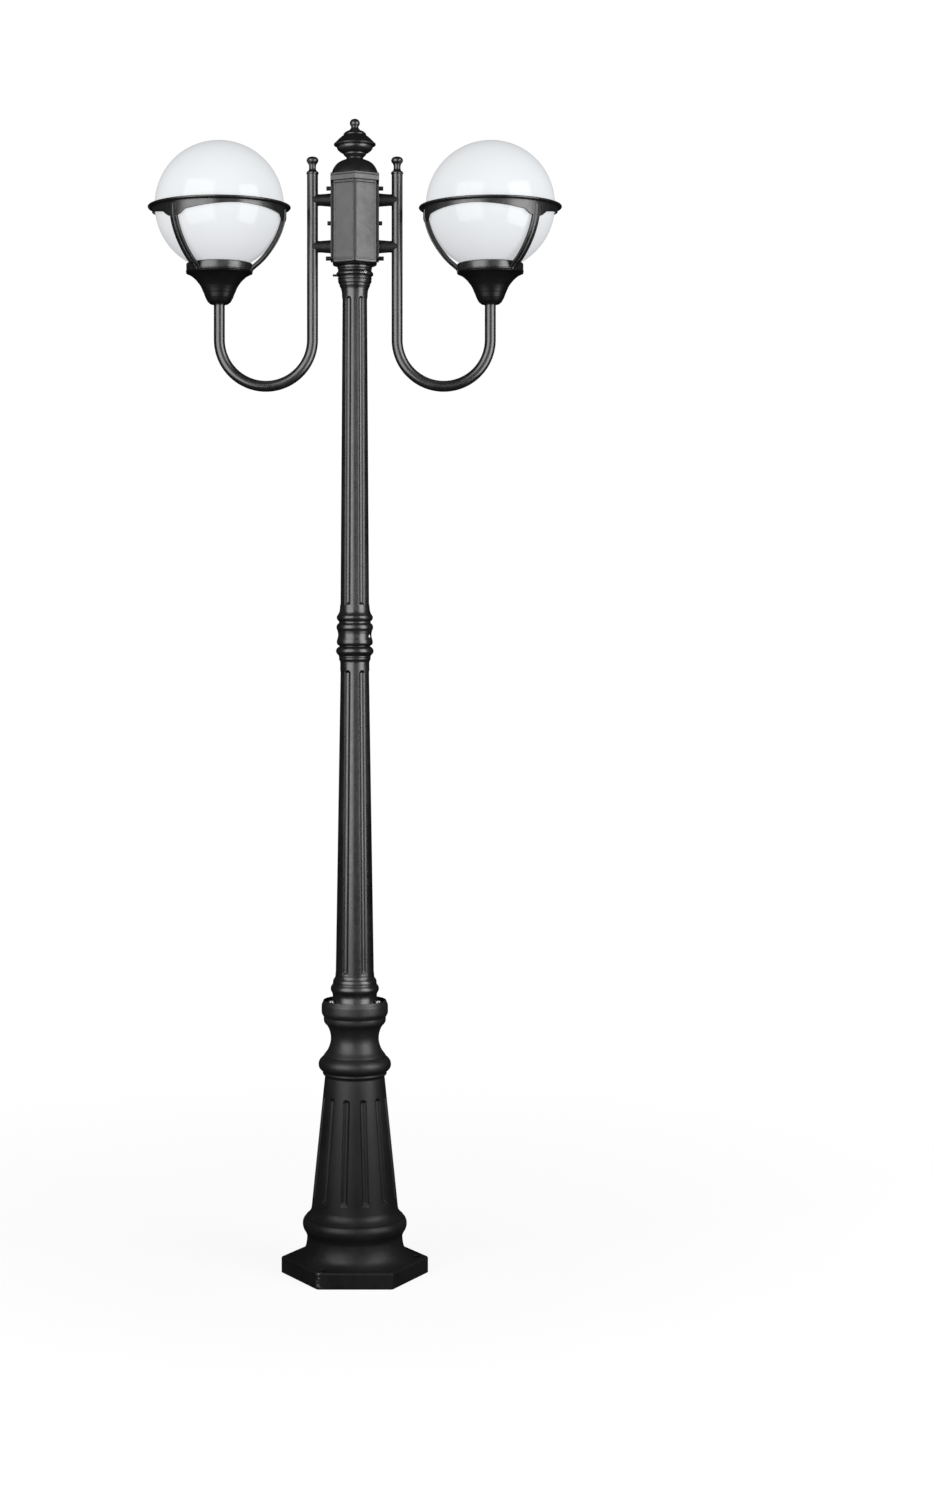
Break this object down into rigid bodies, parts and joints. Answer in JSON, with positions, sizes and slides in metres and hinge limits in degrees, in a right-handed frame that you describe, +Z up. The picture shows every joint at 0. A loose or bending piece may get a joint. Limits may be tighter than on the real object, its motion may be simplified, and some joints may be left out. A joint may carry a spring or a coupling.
{
  "type": "street lamp post",
  "caption": "Black fluted street lamp post with a hexagonal foot, a hexagonal head box under a domed lid, and hooked side arms carrying opal globes in open ribbed cages.",
  "frame": {"origin": "on the post's axis at the underside of the hexagonal foot, where it rests on the ground", "axes": "+Z up along the post, arms spread along X with the left arm at -X, front faces -Y"},
  "size_m": [0.802, 0.2768, 2.2355],
  "materials": {
    "black_casting": "black powder coat, satin, finely textured, on cast aluminium",
    "black_steel": "black powder coat, satin, on steel",
    "rough_black_steel": "black powder coat, coarser and duller",
    "black_fastener": "black oxide",
    "zinc_steel": "bright zinc plate",
    "brass": "plain brass",
    "rubber": "matte black",
    "cable_sheath": "matte black sheath",
    "terminal_plastic": "off-white moulded",
    "lampholder_ceramic": "white glaze",
    "bulb_glass": "frosted inside",
    "opal_globe": "opal white, glossy"
  },
  "bodies": {
    "post": {"base_casting": "black_casting", "shaft_foot_screws": "zinc_steel", "lower_shaft": "black_casting", "joint_spigot": "zinc_steel", "upper_shaft": "black_casting", "shaft_grub_screw": "zinc_steel", "supply_cable": "cable_sheath"},
    "head": {"arm_cable_left": "cable_sheath", "arm_cable_right": "cable_sheath", "arm_knob_left": "black_casting", "arm_knob_right": "black_casting", "arm_plate_left": "black_steel", "arm_plate_nuts": "zinc_steel", "arm_plate_right": "black_steel", "arm_plate_screws": "black_fastener", "arm_stubs_left": "rough_black_steel", "arm_stubs_right": "rough_black_steel", "arm_tube_left": "black_steel", "arm_tube_right": "black_steel", "box_body": "black_steel", "bridge_screws": "zinc_steel", "cable_grommet": "rubber", "cage_screws": "zinc_steel", "cup_nuts": "zinc_steel", "earth_screw": "brass", "globe_gasket_left": "rubber", "globe_gasket_right": "rubber", "globe_grub_screws": "zinc_steel", "head_lock_pin": "black_fastener", "head_set_screws": "zinc_steel", "head_socket": "black_casting", "holder_plate_left": "zinc_steel", "holder_plate_right": "zinc_steel", "lamp_cage_left": "black_casting", "lamp_cage_right": "black_casting", "lamp_cup_left": "black_casting", "lamp_cup_right": "black_casting", "lampholder_left": "lampholder_ceramic", "lampholder_right": "lampholder_ceramic", "lid_gasket": "rubber", "lid_tie_rod": "zinc_steel", "plate_gasket_left": "rubber", "plate_gasket_right": "rubber", "rod_bridge": "zinc_steel", "rod_nuts": "zinc_steel", "terminal_block": "terminal_plastic", "terminal_screws": "brass"},
    "dome_lid_body": {"dome_lid": "black_casting"},
    "finial_body": {"finial": "black_casting"},
    "globe_left_body": {"globe_left": "opal_globe"},
    "globe_right_body": {"globe_right": "opal_globe"},
    "bulb_left_body": {"bulb_base_left": "brass", "bulb_glass_left": "bulb_glass"},
    "bulb_right_body": {"bulb_base_right": "brass", "bulb_glass_right": "bulb_glass"}
  },
  "joints": [
    {"name": "head_turn", "type": "hinge", "parent": "post", "child": "head", "pos_m": [0, 0, 1.93], "axis": [0, 0, 1], "range_deg": [-180, 180]},
    {"name": "lid_lift", "type": "slide", "parent": "head", "child": "dome_lid_body", "axis": [0, 0, 1], "range_m": [0, 0.12]},
    {"name": "finial_unscrew", "type": "hinge", "parent": "dome_lid_body", "child": "finial_body", "pos_m": [0, 0, 2.17], "axis": [0, 0, 1], "continuous": true},
    {"name": "globe_lift_left", "type": "slide", "parent": "head", "child": "globe_left_body", "axis": [0, 0, 1], "range_m": [0, 0.14]},
    {"name": "bulb_unscrew_left", "type": "hinge", "parent": "head", "child": "bulb_left_body", "pos_m": [-0.2626, 0, 1.96], "axis": [0, 0, 1], "continuous": true},
    {"name": "globe_lift_right", "type": "slide", "parent": "head", "child": "globe_right_body", "axis": [0, 0, 1], "range_m": [0, 0.14]},
    {"name": "bulb_unscrew_right", "type": "hinge", "parent": "head", "child": "bulb_right_body", "pos_m": [0.2626, 0, 1.96], "axis": [0, 0, 1], "continuous": true}
  ]
}
